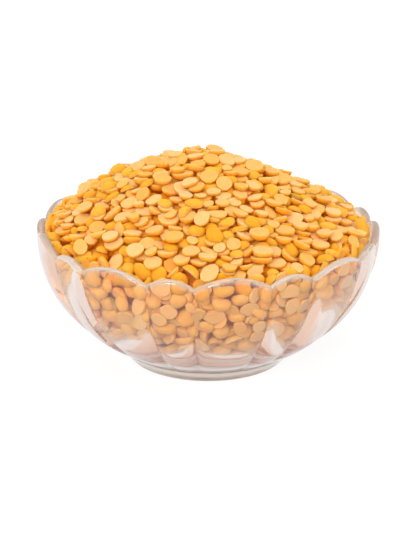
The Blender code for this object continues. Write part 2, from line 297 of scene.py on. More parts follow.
@dataclass(frozen=True)
class SplitChickpea:
    """Husked split chickpea: a pale mealy cut face and a deeper, slightly satin round back."""

    back_dark: str = "#EAA226"
    back_light: str = "#F1B03E"
    face_dark: str = "#EFAE55"
    face_light: str = "#F3C082"
    skin_wear: float = 0.9
    unripe: str = "#C9A23E"
    unripe_from: float = 1.5
    deep: str = "#F09C1A"
    deep_share: float = 0.6
    # Paler cream towards which the grains pressed on the glass are mixed.
    glass_pale_tint: str = "#F8D6BA"
    glass_pale_share: float = 0.15
    seeping: str = "#FF9008"
    seeping_share: float = 0.065
    meal: float = 0.35 * MM
    meal_detail: float = 2.0
    meal_from: float = 0.3
    meal_to: float = 0.7
    meal_dark: float = 0.94
    meal_light: float = 1.02
    meal_relief: float = 0.25
    dent: float = 1.6 * MM
    dent_detail: float = 3.0
    dent_depth: float = 0.10 * MM
    dent_strength: float = 0.7
    roughness: float = 0.55
    index: float = 1.4
    gloss: float = 0.08
    inner_light: float = 0.75
    inner_spread: tuple[float, float, float] = (1.0, 0.6, 0.12)
    inner_reach: float = 2.2 * MM

    def material(self) -> bpy.types.Material:
        """Build the grain's skin, from the tint of each grain and the side of it that shows.

        Returns:
            The grains' material.
        """
        material, tree = new_material("split chickpea")
        place = add_node(tree, "ShaderNodeTexCoord").outputs["Object"]
        tint, cut_face, buried, at_glass = [
            add_node(tree, "ShaderNodeAttribute", attribute_name=mark).outputs["Fac"]
            for mark in ("tint", "cut_face", "sunk", "chalky")]
        blotch, meal = [
            add_node(tree, "ShaderNodeTexNoise", {
                "Vector": place, "Scale": 1.0 / size, "Detail": detail,
            }).outputs["Fac"]
            for size, detail in ((self.dent, self.dent_detail), (self.meal, self.meal_detail))]
        back, cut = [
            add_node(tree, "ShaderNodeMix", {
                "Factor": tint, "A": colour(dark), "B": colour(light),
            }, data_type="RGBA").outputs["Result"]
            for dark, light in ((self.back_dark, self.back_light), (self.face_dark, self.face_light))]
        # The mealy inside also shows in patches on the back, where the skin is rubbed off.
        edge = add_node(tree, "ShaderNodeMath", {0: blotch, 1: NOISE_MEAN}, operation="SUBTRACT")
        mix_mask = add_node(tree, "ShaderNodeMath", {
            0: edge.outputs[0], 1: self.skin_wear, 2: cut_face,
        }, operation="MULTIPLY_ADD", use_clamp=True)
        odd = add_node(tree, "ShaderNodeMath", {0: tint, 1: self.unripe_from}, operation="GREATER_THAN")
        # The light that reaches a buried grain has come through others, so it looks a deeper orange.
        deepening = add_node(tree, "ShaderNodeMath", {0: buried, 1: self.deep_share}, operation="MULTIPLY")
        # Grains pressed on the glass below a band under the rim are mixed towards a paler cream.
        paling = add_node(tree, "ShaderNodeMath", {0: at_glass, 1: self.glass_pale_share},
                             operation="MULTIPLY")
        skin = back
        for share, over in ((mix_mask, cut), (odd, colour(self.unripe)), (deepening, colour(self.deep)),
                            (paling, colour(self.glass_pale_tint))):
            skin = add_node(tree, "ShaderNodeMix", {
                "Factor": share.outputs[0], "A": skin, "B": over,
            }, data_type="RGBA").outputs["Result"]
        # Fine meal on every grain breaks its colour up a little.
        dusty = add_node(tree, "ShaderNodeMapRange", {
            "Value": meal, "From Min": self.meal_from, "From Max": self.meal_to,
            "To Min": self.meal_dark, "To Max": self.meal_light,
        }).outputs["Result"]
        shaded = add_node(tree, "ShaderNodeVectorMath", {0: skin, "Scale": dusty}, operation="SCALE")
        relief = add_node(tree, "ShaderNodeMath", {0: meal, 1: self.meal_relief, 2: blotch},
                          operation="MULTIPLY_ADD")
        bump = add_node(tree, "ShaderNodeBump", {
            "Height": relief.outputs[0],
            "Strength": self.dent_strength,
            "Distance": self.dent_depth,
        })
        # Some light seeps down to a buried grain through those above it, and the render leaves it out.
        open_sunk = add_node(tree, "ShaderNodeMath", {0: buried, 1: at_glass},
                             operation="SUBTRACT", use_clamp=True)
        seeping = add_node(tree, "ShaderNodeMath", {
            0: open_sunk.outputs[0], 1: self.seeping_share,
        }, operation="MULTIPLY")
        shader = add_node(tree, "ShaderNodeBsdfPrincipled", {
            "Emission Color": colour(self.seeping),
            "Emission Strength": seeping.outputs[0],
            "Base Color": shaded.outputs[0],
            "Roughness": self.roughness,
            "IOR": self.index,
            "Specular IOR Level": self.gloss,
            "Subsurface Weight": self.inner_light,
            "Subsurface Radius": self.inner_spread,
            "Subsurface Scale": self.inner_reach,
            "Normal": bump.outputs["Normal"],
        })
        add_node(tree, "ShaderNodeOutputMaterial", {"Surface": shader.outputs["BSDF"]})
        material.cycles.emission_sampling = "NONE"
        return material


@dataclass(frozen=True)
class BuriedDal:
    """The inside of the heap, where grains and the gaps between them run together, drawn darker than the
    grains as painted shade.
    """

    # A brown orange darker than the grains: painted shade for the bottom of the gaps.
    deep: str = "#B4560C"
    high: str = "#E08A20"
    # A faint orange glow of its own: painted light for what seeps into the heap.
    seeping: str = "#FF7008"
    seeping_share: float = 0.07
    lump: float = 5.0 * MM
    roughness: float = 0.8

    def material(self) -> bpy.types.Material:
        """Build the blotchy brown orange, painted shade, that shows at the bottom of the gaps, with a faint
        painted glow.

        Returns:
            The core's material.
        """
        material, tree = new_material("buried split chickpeas")
        lump = add_node(tree, "ShaderNodeTexVoronoi", {
            "Vector": add_node(tree, "ShaderNodeTexCoord").outputs["Object"],
            "Scale": 1.0 / self.lump,
        })
        mixed = add_node(tree, "ShaderNodeMix", {
            "Factor": lump.outputs["Distance"], "A": colour(self.high), "B": colour(self.deep),
        }, data_type="RGBA")
        shader = add_node(tree, "ShaderNodeBsdfPrincipled", {
            "Base Color": mixed.outputs["Result"],
            "Roughness": self.roughness,
            "Emission Color": colour(self.seeping),
            "Emission Strength": self.seeping_share,
        })
        add_node(tree, "ShaderNodeOutputMaterial", {"Surface": shader.outputs["BSDF"]})
        return material


@dataclass(frozen=True)
class PaperSweep:
    """Matt white background paper, lit until it shows no edge."""

    grey: str = "#707070"
    white: str = "#FFFFFF"
    glow: float = 0.87
    roughness: float = 0.9
    fibre: float = MM / 0.9
    fibre_detail: float = 2.0
    fibre_depth: float = 0.05 * MM
    fibre_strength: float = 0.1

    def material(self) -> bpy.types.Material:
        """Build the paper, with a little light of its own so that shadows on it stay faint.

        Returns:
            The paper's material.
        """
        material, tree = new_material("white background paper")
        # Real fibres are finer than this. They are drawn as coarse as they need to show.
        fibre = add_node(tree, "ShaderNodeTexNoise", {
            "Vector": add_node(tree, "ShaderNodeTexCoord").outputs["Object"],
            "Scale": 1.0 / self.fibre,
            "Detail": self.fibre_detail,
        })
        bump = add_node(tree, "ShaderNodeBump", {
            "Height": fibre.outputs["Fac"],
            "Strength": self.fibre_strength,
            "Distance": self.fibre_depth,
        })
        shader = add_node(tree, "ShaderNodeBsdfPrincipled", {
            "Base Color": colour(self.grey),
            "Roughness": self.roughness,
            "Emission Color": colour(self.white),
            "Emission Strength": self.glow,
            "Normal": bump.outputs["Normal"],
        })
        add_node(tree, "ShaderNodeOutputMaterial", {"Surface": shader.outputs["BSDF"]})
        return material


# ---------------------------------------------------------------- bowl


@dataclass(frozen=True)
class Course:
    """A size that changes up the bowl: what it is at the rim, at the belly and at the foot."""

    rim: float
    belly: float
    foot: float


@dataclass(frozen=True)
class Petal:
    """One of the two kinds of petal: its angle, crest, crown and number of columns."""

    angle: float
    crest: float
    crown: Course
    columns: int


@dataclass
class PetalBowl:
    """The glass bowl: an elliptical shell with petals pressed into its outside, on a foot ring."""

    radius: float = 63.0 * MM
    depth: float = 50.0 * MM
    notch_height: float = 47.6 * MM
    pairs: int = 9
    wide_angle: float = math.radians(24.5)
    first_wide_centre: float = math.radians(8.07)
    wide_crest: float = 3.9 * MM
    narrow_crest: float = 3.0 * MM
    outer_fall: float = 1.2
    notch_depth: Course = Course(0.9 * MM, 2.3 * MM, 0.25 * MM)
    wide_crown: Course = Course(0.25 * MM, 1.6 * MM, 0.2 * MM)
    narrow_crown: Course = Course(0.15 * MM, 1.6 * MM, 0.2 * MM)
    groove_round: Course = Course(1.2 * MM, 0.3 * MM, 0.9 * MM)
    belly_height: float = 24.0 * MM
    flank: float = 3.2 * MM
    rim_wall: float = 3.3 * MM
    rim_band: float = 1.8 * MM
    # How strongly the top of the rim and the foot take the painted pale band of light, and where on the foot
    # it changes.
    painted_rim_band_rise: float = 2.0
    painted_foot_band: float = 2.4
    painted_low_foot_band: float = 0.8
    painted_foot_split: float = 2.5 * MM
    painted_foot_reach: float = 0.85
    hollow_depth: float = 40.0 * MM
    hollow_fall: float = 1.7
    hollow_round: float = 3.3
    foot_top: float = 5.8 * MM
    foot_radius: float = 30.0 * MM
    foot_ring_width: float = 4.8 * MM
    foot_edge: float = 0.6 * MM
    foot_turn: tuple[tuple[float, float], ...] = ((1.2 * MM, 0.0), (0.35 * MM, 0.3), (0.0, 1.0))
    foot_steps: tuple[float, ...] = (0.25, 0.5, 0.75, 0.92)
    recess: float = 1.5 * MM
    recess_curve: tuple[tuple[float, float], ...] = ((2.0, 1.0), (1.0, 0.85), (0.3, 0.2), (0.0, 0.0))
    wide_columns: int = 22
    narrow_columns: int = 16
    outside_rows: int = 54
    inside_rows: int = 48
    rim_rows: int = 12
    floor_rows: float = 1.5
    weld: float = 0.002 * MM

    @property
    def hollow_radius(self) -> float:
        """Radius of the hollow at the rim."""
        return self.radius - self.rim_wall

    @property
    def pair_angle(self) -> float:
        """Angle that one wide and one narrow petal take together."""
        return 2.0 * math.pi / self.pairs

    def outside(self, height: float) -> float:
        """Radius of the plain outside at a height."""
        drop = max(0.0, self.notch_height - height)
        return self.radius * math.sqrt(1.0 - (drop / self.depth) ** 2)

    def inside(self, height: np.ndarray | float) -> np.ndarray | float:
        """Radius of the smooth hollow at a height, or at an array of heights."""
        drop = np.clip(self.notch_height - height, 0.0, self.hollow_depth) / self.hollow_depth
        return self.hollow_radius * (1.0 - drop ** self.hollow_fall) ** (1.0 / self.hollow_round)

    def course(self, sizes: Course, height: float) -> float:
        """Size at a height, from its values at the rim, the belly and the foot.

        Args:
            sizes: the three values.
            height: height above the foot.

        Returns:
            The size there.
        """
        if height > self.belly_height:
            share = min(1.0, (height - self.belly_height) / (self.notch_height - self.belly_height))
            return sizes.belly + (sizes.rim - sizes.belly) * share ** self.outer_fall
        share = (self.belly_height - height) / (self.belly_height - self.foot_top)
        return sizes.belly + (sizes.foot - sizes.belly) * share ** 2

    def surface(self, height: float, place: float, petal: Petal) -> float:
        """Outside radius at a height and a place across a petal.

        Args:
            height: height above the foot.
            place: from -1 to 1 across the petal, its notches being at the ends.
            petal: the kind of petal.

        Returns:
            The radius there.
        """
        soft = self.course(self.groove_round, height)
        to_notch = math.hypot((1.0 - abs(place)) * petal.angle * self.radius / 2.0, soft) - soft
        fall = max(0.0, 1.0 - to_notch / self.flank)
        crown = self.course(petal.crown, height)
        notch = self.course(self.notch_depth, height)
        return self.outside(height) - crown * place ** 2 - (notch - crown) * fall

    def section(self, place: float, petal: Petal) -> list[tuple[float, float]]:
        """Profile of one column, from under the foot, over the rim and down to the floor.

        Args:
            place: from -1 to 1 across the petal.
            petal: the kind of petal.

        Returns:
            (radius, height) points.
        """
        top = self.notch_height + petal.crest * (1.0 - place ** 2)
        half = (self.surface(top, place, petal) - self.hollow_radius) / 2.0
        ring_inside = self.foot_radius - self.foot_ring_width
        points = [(ring_inside - self.recess * far, self.recess * high) for far, high in self.recess_curve]
        points += [(self.foot_radius - far, self.foot_edge * high) for far, high in self.foot_turn]
        base = self.surface(self.foot_top, place, petal)
        for share in self.foot_steps:
            points.append((self.foot_radius + (base - self.foot_radius) * share,
                           self.foot_edge + (self.foot_top - self.foot_edge) * share))
        shoulder = top - half
        for i in range(self.outside_rows):
            height = self.foot_top + (shoulder - self.foot_top) * i / self.outside_rows
            points.append((self.surface(height, place, petal), height))
        for i in range(self.rim_rows + 1):
            turn = math.pi * i / self.rim_rows
            points.append((self.hollow_radius + half + half * math.cos(turn),
                           shoulder + half * math.sin(turn)))
        floor = self.notch_height - self.hollow_depth
        for i in range(1, self.inside_rows + 1):
            share = math.sin(math.pi / 2.0 * i / (self.inside_rows + self.floor_rows))
            height = shoulder + (floor - shoulder) * share
            points.append((float(self.inside(height)), height))
        return points

    def petals(self) -> tuple[Petal, Petal]:
        """Return the wide and the narrow petal."""
        return (Petal(self.wide_angle, self.wide_crest, self.wide_crown, self.wide_columns),
                Petal(self.pair_angle - self.wide_angle, self.narrow_crest, self.narrow_crown,
                      self.narrow_columns))

    def columns(self) -> list[tuple[float, float, Petal]]:
        """Angle, place and petal of each column of one pair of petals.

        Returns:
            The columns from left to right, the last one closing the slice.
        """
        result = []
        start = self.first_wide_centre - self.wide_angle / 2.0
        for petal in self.petals():
            for i in range(petal.columns):
                place = math.sin(math.pi * (i / petal.columns - 0.5))
                result.append((start + petal.angle * (place + 1.0) / 2.0, place, petal))
            start += petal.angle
        result.append((start, -1.0, self.petals()[0]))
        return result

    def pair_mesh(self) -> bpy.types.Mesh:
        """Mesh of the slice of bowl that holds one wide and one narrow petal.

        Returns:
            The slice's mesh, with how strongly each point takes the painted pale band in an attribute.
        """
        bm = bmesh.new()
        mark = bm.verts.layers.float.new("rim")
        grid = []
        for angle, place, petal in self.columns():
            across, back = math.sin(angle), -math.cos(angle)
            line = self.section(place, petal)
            shoulder = max(z for _, z in line) - self.rim_band
            grid.append([bm.verts.new((r * across, r * back, z)) for r, z in line])
            # Points at the top of the rim and on the foot are marked for the painted pale band.
            for vert, (_, z) in zip(grid[-1], line):
                vert[mark] = min(1.0, max(0.0, (z - shoulder) / self.rim_band) * self.painted_rim_band_rise)
                if z < self.foot_top * self.painted_foot_reach:
                    vert[mark] = self.painted_foot_band if z > self.painted_foot_split else self.painted_low_foot_band
        under = bm.verts.new((0.0, 0.0, self.recess))
        floor = bm.verts.new((0.0, 0.0, self.notch_height - self.hollow_depth))
        for left, right in zip(grid, grid[1:]):
            bm.faces.new((under, left[0], right[0]))
            for row in range(len(left) - 1):
                bm.faces.new((left[row], left[row + 1], right[row + 1], right[row]))
            bm.faces.new((left[-1], floor, right[-1]))
        return closed_mesh(bm, "petal pair")

    def ring_tree(self) -> bpy.types.NodeTree:
        """Node group that turns one slice into the whole ring and welds its seams.

        Returns:
            The node group.
        """
        tree = geometry_tree("ring of petals", {
            "Pairs": "NodeSocketInt", "Weld": "NodeSocketFloat", "Glass": "NodeSocketMaterial",
        })
        inputs = tree.nodes["Inputs"].outputs
        spots = add_node(tree, "GeometryNodeMeshLine", {
            "Count": inputs["Pairs"], "Offset": (0.0, 0.0, 0.0),
        })
        step = add_node(tree, "ShaderNodeMath", {0: 2.0 * math.pi, 1: inputs["Pairs"]}, operation="DIVIDE")
        index = add_node(tree, "GeometryNodeInputIndex")
        turn = add_node(tree, "ShaderNodeMath", {
            0: index.outputs[0], 1: step.outputs[0],
        }, operation="MULTIPLY")
        spin = add_node(tree, "ShaderNodeCombineXYZ", {"Z": turn.outputs[0]})
        slices = add_node(tree, "GeometryNodeInstanceOnPoints", {
            "Points": spots.outputs["Mesh"], "Instance": inputs["Geometry"], "Rotation": spin.outputs[0],
        })
        solid = add_node(tree, "GeometryNodeRealizeInstances", {"Geometry": slices.outputs["Instances"]})
        welded = add_node(tree, "GeometryNodeMergeByDistance", {
            "Geometry": solid.outputs["Geometry"], "Distance": inputs["Weld"],
        })
        smooth = add_node(tree, "GeometryNodeSetShadeSmooth", {"Geometry": welded.outputs["Geometry"]})
        dressed = add_node(tree, "GeometryNodeSetMaterial", {
            "Geometry": smooth.outputs["Geometry"], "Material": inputs["Glass"],
        })
        tree.links.new(dressed.outputs["Geometry"], tree.nodes["Outputs"].inputs["Geometry"])
        return tree

    def build(self, glass: PressedGlass) -> bpy.types.Object:
        """Build the bowl as one closed shell of glass that stands for its solid.

        Args:
            glass: finish of the bowl.

        Returns:
            The bowl.
        """
        source = new_object("petal_pair", self.pair_mesh())
        node_modifier(source, self.ring_tree(), {
            "Pairs": self.pairs, "Weld": self.weld, "Glass": glass.material(),
        })
        bowl = as_plain_mesh(source, "petal_bowl")
        bowl.visible_shadow = False
        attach(bowl, BODY)
        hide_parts(BOWL_NODE)
        return bowl


# ---------------------------------------------------------------- grains


class GrainKind(Enum):
    """Kinds of split grain, with the share of the heap that each makes up."""

    ROUND = 0.38
    OVAL = 0.30
    BEAKED = 0.15
    BROKEN = 0.17


@dataclass
class GrainShape:
    """One split grain round its own centre: the cut face is up, the round back is down."""

    kind: GrainKind
    seed: int
    radius: float = 3.1 * MM
    thickness: float = 2.25 * MM
    sides: int = 12
    bound_sides: int = 8
    profile: tuple[tuple[float, float], ...] = ((0.95, 0.0), (1.0, 0.17), (0.89, 0.63), (0.51, 0.94))
    waves: tuple[float, float, float] = (0.045, 0.035, 0.02)
    oval: tuple[float, float] = (1.12, 0.22)
    beak: tuple[float, float, float] = (0.16, 0.42, 0.05)
    break_line: tuple[float, float] = (0.25, 0.6)
    least_cosine: float = 0.1
    face_height: float = 0.47
    shoulder_mark: float = 0.25

    def reach(self, turn: np.ndarray) -> np.ndarray:
        """Radius of the outline at each angle, as a share of the grain's radius.

        Args:
            turn: the angles.

        Returns:
            The shares.
        """
        rng = np.random.default_rng(self.seed)
        phases = rng.uniform(0.0, 2.0 * math.pi, 3)
        two, three, four = self.waves
        reach = 1.0 + two * np.cos(2.0 * turn + phases[0]) + three * np.cos(3.0 * turn + phases[1])
        reach += four * np.cos(4.0 * turn + 2.0 * phases[2])
        if self.kind is GrainKind.OVAL:
            longest, narrowing = self.oval
            reach *= longest - narrowing * np.sin(turn) ** 2
        if self.kind is GrainKind.BEAKED:
            height, width, loss = self.beak
            away = np.angle(np.exp(1j * (turn - phases[2])))
            reach += height * np.exp(-(away / width) ** 2) - loss
        if self.kind is GrainKind.BROKEN:
            away = np.cos(turn - phases[2])
            chord = rng.uniform(*self.break_line)
            reach = np.where(away > chord, chord / np.maximum(away, self.least_cosine), reach)
        return reach

    def rings(self, sides: int) -> np.ndarray:
        """Rings of points from the cut face's edge down to the crown, as (ring, side, xyz).

        Args:
            sides: number of points in each ring.

        Returns:
            The points.
        """
        turn = np.arange(sides) * 2.0 * math.pi / sides
        reach = self.reach(turn) * self.radius
        lift = self.thickness / 2.0
        return np.array([
            np.stack([reach * share * np.cos(turn), reach * share * np.sin(turn),
                      np.full(sides, lift - self.thickness * drop)], axis=1)
            for share, drop in self.profile
        ])

    def planes(self) -> np.ndarray:
        """Planes that bound the grain, as rows of an outward normal and its distance.

        Returns:
            The rows.
        """
        rings = self.rings(self.bound_sides)
        lift = self.thickness / 2.0
        planes = [(0.0, 0.0, 1.0, lift), (0.0, 0.0, -1.0, lift)]
        for upper, lower in zip(rings, rings[1:]):
            for i in range(self.bound_sides):
                j = (i + 1) % self.bound_sides
                normal = np.cross(lower[i] - upper[i], upper[j] - upper[i])
                normal /= np.linalg.norm(normal)
                if normal @ upper[i] < 0.0:
                    normal = -normal
                planes.append((*normal, float(normal @ upper[i])))
        return np.array(planes)

    def mesh(self) -> bpy.types.Mesh:
        """Closed mesh of the grain, with the cut face marked in an attribute.

        Returns:
            The mesh.
        """
        bm = bmesh.new()
        mark = bm.verts.layers.float.new("cut_face")
        rings = [[bm.verts.new(point) for point in ring] for ring in self.rings(self.sides)]
        top = bm.verts.new((0.0, 0.0, self.thickness * self.face_height))
        bottom = bm.verts.new((0.0, 0.0, -self.thickness / 2.0))
        for vert in (top, *rings[0]):
            vert[mark] = 1.0
        for vert in rings[1]:
            vert[mark] = self.shoulder_mark
        for i in range(self.sides):
            j = (i + 1) % self.sides
            bm.faces.new((top, rings[0][i], rings[0][j]))
            for upper, lower in zip(rings, rings[1:]):
                bm.faces.new((upper[i], lower[i], lower[j], upper[j]))
            bm.faces.new((rings[-1][i], bottom, rings[-1][j]))
            bm.edges.get((rings[0][i], rings[0][j])).smooth = False
        return closed_mesh(bm, f"{self.kind.name.lower()} grain {self.seed}")


@dataclass
class Grain:
    """One placed grain: which shape it has, where and how it lies, and the marks of its look."""

    shape: int
    centre: np.ndarray
    turn: np.ndarray
    stretch: np.ndarray
    tint: float
    chalky: float = 0.0
    sunk: float = 0.0


def rotation_about(axis: np.ndarray, angle: float) -> np.ndarray:
    """Matrix that turns by an angle about an axis."""
    return np.array(Matrix.Rotation(angle, 3, Vector(axis)))


def facing(normal: np.ndarray) -> np.ndarray:
    """Matrix that turns +Z to a direction."""
    return np.array(Vector(normal).to_track_quat("Z", "Y").to_matrix())


def reach_of(planes: np.ndarray, p: np.ndarray, q: np.ndarray) -> tuple[np.ndarray, np.ndarray, np.ndarray]:
    """Find where upright lines enter and leave a convex grain.

    Args:
        planes: the grain's bounding planes round its centre.
        p: first coordinate of each line.
        q: second coordinate of each line.

    Returns:
        The low height, the high height and whether the line meets the grain.
    """
    steep = np.where(np.abs(planes[:, 2]) < NEARLY_UPRIGHT, NEARLY_UPRIGHT, planes[:, 2])
    level = (planes[:, 3, None] - planes[:, 0, None] * p - planes[:, 1, None] * q) / steep[:, None]
    high = level[steep > 0.0].min(axis=0)
    low = level[steep < 0.0].max(axis=0)
    return low, high, high > low


@dataclass
class GrainDealer:
    """Deals out grains of mixed kind, size and tint in a fixed random order."""

    seed: int
    usual_size: float = 0.97
    size_spread: float = 0.1
    sizes: tuple[float, float] = (0.72, 1.18)
    flatness: tuple[float, float] = (0.82, 1.12)
    narrowness: tuple[float, float] = (0.92, 1.04)
    variants: int = 3
    seed_step: int = 10
    shapes: list[GrainShape] = field(default_factory=list)
    planes: list[np.ndarray] = field(default_factory=list)
    shares: list[float] = field(default_factory=list)

    def __post_init__(self) -> None:
        """Make the shapes and the planes that bound them."""
        self.rng = np.random.default_rng(self.seed)
        for kind in GrainKind:
            for i in range(self.variants):
                self.shapes.append(GrainShape(kind, self.seed_step * len(self.shapes) + i))
                self.shares.append(kind.value / self.variants)
        self.planes = [shape.planes() for shape in self.shapes]

    def deal(self, scale: float) -> Grain:
        """Deal one grain that isn't placed yet, of about some scale.

        Args:
            scale: its size against a usual grain.

        Returns:
            The grain.
        """
        size = scale * float(np.clip(self.rng.normal(self.usual_size, self.size_spread), *self.sizes))
        flat = float(self.rng.uniform(*self.flatness))
        return Grain(
            shape=int(self.rng.choice(len(self.shapes), p=self.shares)),
            centre=np.zeros(3),
            turn=np.eye(3),
            stretch=np.array([size, size * float(self.rng.uniform(*self.narrowness)), size * flat]),
            tint=float(self.rng.random()),
        )

    def planes_of(self, grain: Grain, turn: np.ndarray) -> np.ndarray:
        """Planes that bound a grain once it is stretched and turned.

        Args:
            grain: the grain.
            turn: its rotation.

        Returns:
            Rows of an outward normal and its distance from the grain's centre.
        """
        planes = self.planes[grain.shape]
        normals = (planes[:, :3] / grain.stretch) @ turn.T
        return np.column_stack([normals, planes[:, 3]])

    def pose(self, normal: np.ndarray, spread: float, steepest: float, face_down: float) -> np.ndarray:
        """Random way to lie on a slope.

        Args:
            normal: direction straight out of the slope.
            spread: typical tilt away from the slope.
            steepest: largest tilt.
            face_down: share of the grains that lie on their cut face.

        Returns:
            The grain's rotation matrix.
        """
        tilt = min(steepest, abs(self.rng.normal(0.0, spread)))
        heading = self.rng.uniform(0.0, 2.0 * math.pi)
        lean = rotation_about(np.array([math.cos(heading), math.sin(heading), 0.0]), tilt)
        spin = rotation_about(np.array([0.0, 0.0, 1.0]), self.rng.uniform(0.0, 2.0 * math.pi))
        over = np.diag([1.0, -1.0, -1.0]) if self.rng.random() < face_down else np.eye(3)
        return facing(normal) @ lean @ spin @ over


@dataclass
class DomeSurface:
    """Top of the heap: a dome, a little fuller towards -X, that meets the glass at the rim."""

    bowl: PetalBowl
    top: float = 30.3 * MM
    edge: float = 2.8 * MM
    power: float = 1.45
    lean: float = 5.0 * MM
    rim_gap: float = 0.8 * MM

    def height(self, x: np.ndarray | float, y: np.ndarray | float) -> np.ndarray | float:
        """Height of the tops of the grains over a point.

        Args:
            x: how far right of the axis.
            y: how far behind it.

        Returns:
            The height above the foot.
        """
        reach = self.bowl.hollow_radius - self.rim_gap
        share = np.minimum(1.0, np.hypot(x, y) / reach)
        rise = self.edge + (self.top - self.edge) * (1.0 - share ** self.power)
        return self.bowl.notch_height + rise - self.lean * x / reach * (1.0 - share ** 2)


@dataclass(frozen=True)
class Round:
    """One round of grains: how many are tried, how they lie and where they find room.

    Tilt is in degrees. In a round pressed on the glass, room is the thickness below which grains go
    there, and in one dropped on the dome it is how much of the dome must be missing. Room and proud,
    how far above the dome a grain's middle may typically lie, are in mm, and inner in metres.
    """

    tries: int
    tilt: float
    room: float
    scale: float
    proud: float = -1.05
    inner: float = 0.0


@dataclass
class Berth:
    """A place that a grain could take on a height map, and how high it lies and reaches there."""

    level: float
    excess: float
    effort: float
    u: float
    v: float
    turn: np.ndarray
    cells: tuple[slice, slice]
    tops: np.ndarray
    under: np.ndarray


@dataclass
class GrainBed:
    """Height map on which grains come to rest, each as low as it gets."""

    bowl: PetalBowl
    dome: DomeSurface
    dealer: GrainDealer
    cell: float = 0.33 * MM
    sink: float = 0.4 * MM
    grain_reach: float = 3.9 * MM
    slide: float = 0.9 * MM
    tip: float = math.radians(20.0)
    unease: float = 0.0
    face_down: float = 0.5
    landings: int = 4
    landing_spread: float = 1.6
    steepest: float = math.radians(80.0)
    calming: float = 0.7
    moves: int = 7
    refresh: int = 50
    bury_over: float = 2.2 * MM

    def holds(self, u: float, v: float) -> bool:
        """Tell whether a grain may have its centre at a point."""
        raise NotImplementedError

    def window(self, u: float, v: float) -> tuple[tuple[slice, slice], np.ndarray, np.ndarray]:
        """Cut out the map's cells round a point, with their true distances from it."""
        raise NotImplementedError

    def surface_at(self, u: float, v: float) -> float:
        """Height at a point from which a grain's lie is judged."""
        raise NotImplementedError

    def berth(self, grain: Grain, u: float, v: float, turn: np.ndarray) -> Berth | None:
        """Find how a grain comes to rest at a point, if it may lie there.

        Args:
            grain: the grain.
            u: first map coordinate of its centre.
            v: second map coordinate of its centre.
            turn: its rotation on the map.

        Returns:
            The berth, or None outside the bed.
        """
        if not self.holds(u, v):
            return None
        cells, p, q = self.window(u, v)
        low, high, under = reach_of(self.dealer.planes_of(grain, turn), p, q)
        if not under.any():
            return None
        level = float((self.map[cells].ravel() - low)[under].max())
        excess = level - self.surface_at(u, v)
        strain = self.unease * (1.0 - turn[2, 2] ** 2)
        return Berth(level, excess, excess + strain, u, v, turn, cells, level + high, under)

    def first_lie(self, grain: Grain, spot: np.ndarray, normal: np.ndarray, spread: float) -> Berth | None:
        """Lowest of a few random lies round a spot.

        Args:
            grain: the grain.
            spot: map coordinates round which it is tried.
            normal: direction out of the slope that it lands on.
            spread: typical tilt away from that slope.

        Returns:
            The best berth, or None where there is none.
        """
        best = None
        for _ in range(self.landings):
            shift = self.dealer.rng.uniform(-self.landing_spread, self.landing_spread, 2) * MM
            turn = self.dealer.pose(normal, spread, self.steepest, self.face_down)
            found = self.berth(grain, spot[0] + shift[0], spot[1] + shift[1], turn)
            if found and (best is None or found.effort < best.effort):
                best = found
        return best

    def settle(self, grain: Grain, first: Berth) -> Berth:
        """Let a grain slide and tip by small chance moves to wherever near it lies lower.

        Args:
            grain: the grain.
            first: where it lands.

        Returns:
            Where it comes to rest.
        """
        rng = self.dealer.rng
        best = first
        for i in range(self.moves):
            calm = 1.0 - self.calming * i / self.moves
            axis = rng.normal(size=3)
            turn = rotation_about(axis / np.linalg.norm(axis), rng.normal(0.0, self.tip * calm)) @ best.turn
            shift = rng.normal(0.0, self.slide * calm, 2)
            found = self.berth(grain, best.u + shift[0], best.v + shift[1], turn)
            if found and found.effort < best.effort:
                best = found
        return best

    def buried(self, depth: float) -> float:
        """How deep a grain is buried, from 0 to 1, by how far it lies past the depth that shows."""
        return min(1.0, max(0.0, depth / self.bury_over))

    def around(self, u: float, v: float, reach: float) -> tuple[tuple[slice, slice], np.ndarray, np.ndarray]:
        """Cells within a reach of a point, with their distances from it along both coordinates.

        Args:
            u: first map coordinate.
            v: second map coordinate.
            reach: how far the cells go.

        Returns:
            The map's two slices, and the distances along each coordinate.
        """
        i, j = round(u / self.cell) + self.count, round(v / self.cell) + self.count
        k = int(math.ceil(reach / self.cell)) + 1
        du = (np.arange(i - k, i + k + 1) - self.count) * self.cell - u
        dv = (np.arange(j - k, j + k + 1) - self.count) * self.cell - v
        return (slice(i - k, i + k + 1), slice(j - k, j + k + 1)), du, dv

    def take(self, berth: Berth) -> None:
        """Raise the map over a grain that stays where it is.

        Args:
            berth: where it lies.
        """
        ground = self.map[berth.cells].ravel()
        ground[berth.under] = np.maximum(ground[berth.under], berth.tops[berth.under] - self.sink)
        self.map[berth.cells] = ground.reshape(self.map[berth.cells].shape)


